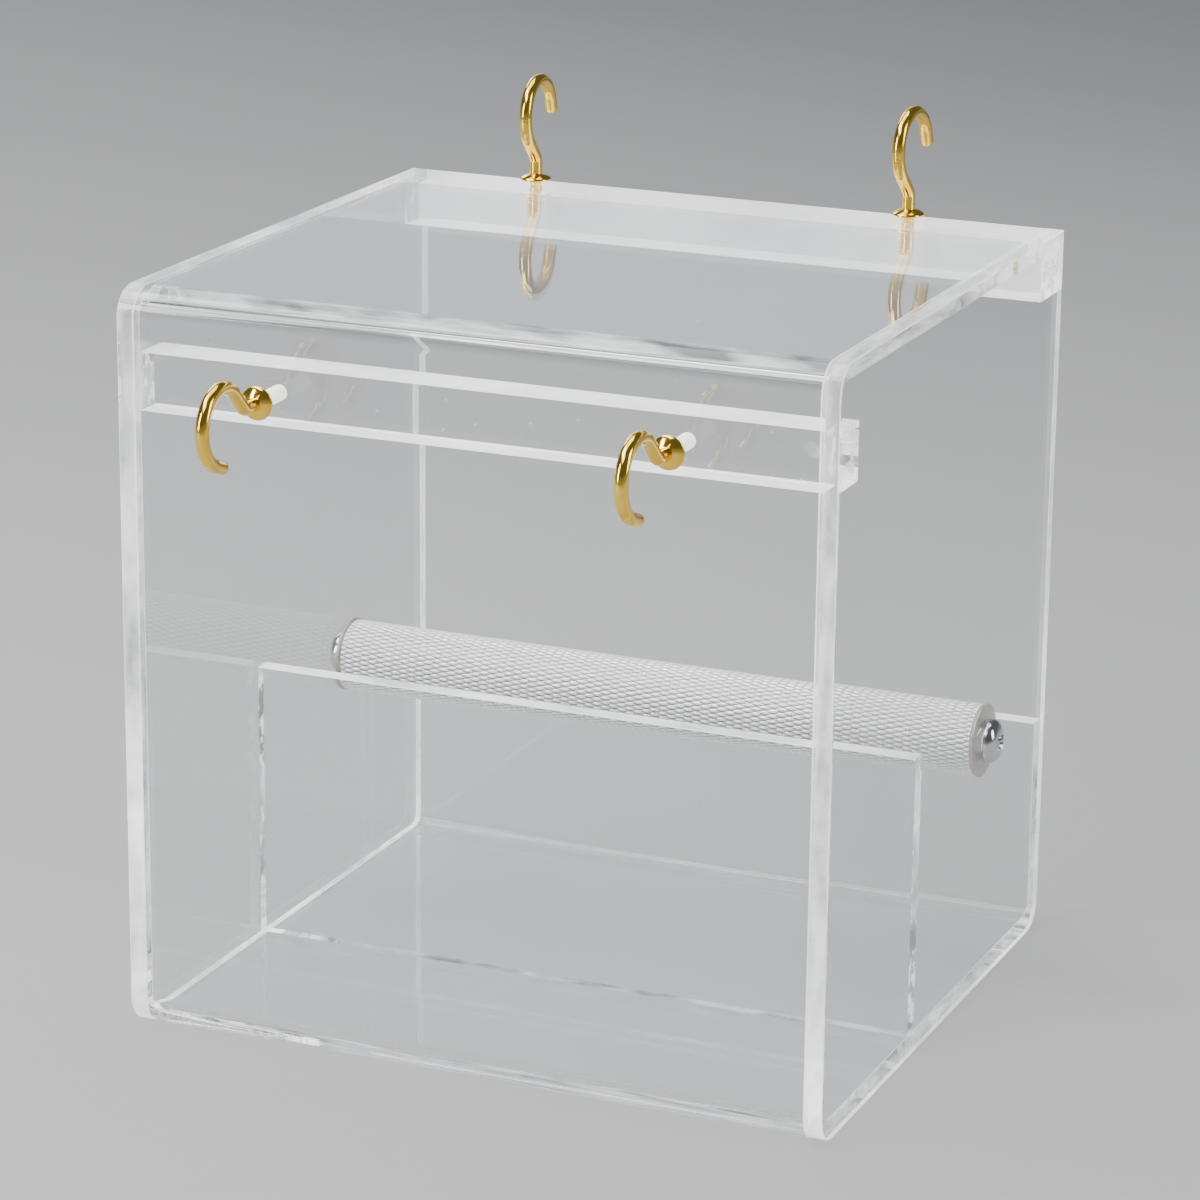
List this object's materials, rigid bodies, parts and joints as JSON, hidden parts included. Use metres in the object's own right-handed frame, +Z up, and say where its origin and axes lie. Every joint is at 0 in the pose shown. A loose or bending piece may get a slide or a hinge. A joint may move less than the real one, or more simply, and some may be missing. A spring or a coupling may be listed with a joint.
{
  "type": "hanging bird feeder box",
  "caption": "Clear acrylic hanging feeder box for a cage bird, with an open rear, front food tray, knurled perch and screw-in brass hooks.",
  "frame": {"origin": "centre of the base's underside", "axes": "+Z up, -Y out of the front face, +X towards the right side panel as seen from the front"},
  "size_m": [0.1662, 0.1758, 0.1898],
  "materials": {
    "clear_acrylic": "clear cast acrylic, polished faces, bright cut edges",
    "perch_aluminium": "diamond knurled, satin",
    "screw_steel": "bright plated steel",
    "hook_brass": "polished brass plate"
  },
  "bodies": {
    "box": {"wrap_shell": "clear_acrylic", "left_side_panel": "clear_acrylic", "right_side_panel": "clear_acrylic", "food_divider": "clear_acrylic", "front_hook_bar": "clear_acrylic", "rear_hook_bar": "clear_acrylic"},
    "perch": {"perch_rod": "perch_aluminium", "perch_screw_left": "screw_steel", "perch_screw_right": "screw_steel"},
    "top_left": {"top_hook_left": "hook_brass", "top_hook_collar_left": "hook_brass"},
    "top_right": {"top_hook_right": "hook_brass", "top_hook_collar_right": "hook_brass"},
    "front_left": {"front_hook_left": "hook_brass", "front_hook_collar_left": "hook_brass"},
    "front_right": {"front_hook_right": "hook_brass", "front_hook_collar_right": "hook_brass"}
  },
  "joints": [
    {"name": "perch_turn", "type": "hinge", "parent": "box", "child": "perch", "pos_m": [0, 0.0305, 0.057], "axis": [1, 0, 0], "continuous": true},
    {"name": "top_hook_left_turn", "type": "hinge", "parent": "box", "child": "top_left", "pos_m": [-0.0455, 0.06475, 0.164], "axis": [0, 0, 1], "continuous": true},
    {"name": "top_hook_right_turn", "type": "hinge", "parent": "box", "child": "top_right", "pos_m": [0.0455, 0.06475, 0.164], "axis": [0, 0, 1], "continuous": true},
    {"name": "front_hook_left_turn", "type": "hinge", "parent": "box", "child": "front_left", "pos_m": [-0.0455, -0.071, 0.14405], "axis": [0, -1, 0], "continuous": true},
    {"name": "front_hook_right_turn", "type": "hinge", "parent": "box", "child": "front_right", "pos_m": [0.0455, -0.071, 0.14405], "axis": [0, -1, 0], "continuous": true}
  ]
}
